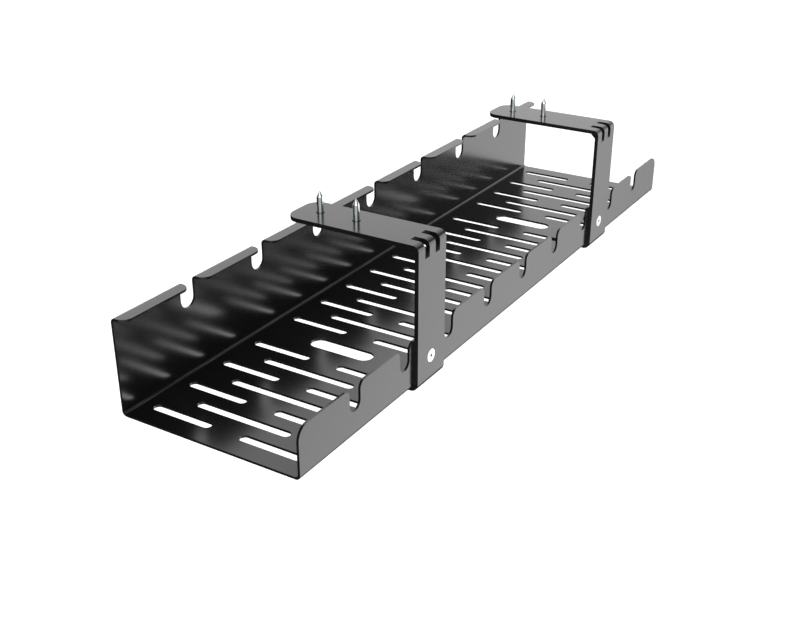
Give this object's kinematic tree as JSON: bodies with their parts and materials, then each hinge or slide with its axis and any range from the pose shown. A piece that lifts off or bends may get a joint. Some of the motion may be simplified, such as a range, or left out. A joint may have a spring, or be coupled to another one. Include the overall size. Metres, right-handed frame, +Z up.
{
  "type": "under-desk cable tray",
  "caption": "Folded steel cable tray with slotted floor, notched walls and a top flange cut into tabs, hung under a desk from two bent brackets.",
  "frame": {"origin": "centre of the four desk screws, in the plane of the desk's underside, which is the top of the bracket arms", "axes": "+X along the tray, +Z up into the desk, -Y towards the low front wall that the brackets are bolted to"},
  "size_m": [0.5, 0.123, 0.1038],
  "materials": {
    "black_coat": "satin-gloss black coating on steel",
    "zinc_plate": "bright zinc plating"
  },
  "bodies": {
    "root": {"tray": "black_coat", "bracket_left": "black_coat", "bracket_right": "black_coat", "bracket_bolt_left": "zinc_plate", "bracket_bolt_right": "zinc_plate", "bracket_nut_left": "zinc_plate", "bracket_nut_right": "zinc_plate", "desk_screw_left_front": "zinc_plate", "desk_screw_left_back": "zinc_plate", "desk_screw_right_front": "zinc_plate", "desk_screw_right_back": "zinc_plate"}
  },
  "joints": []
}
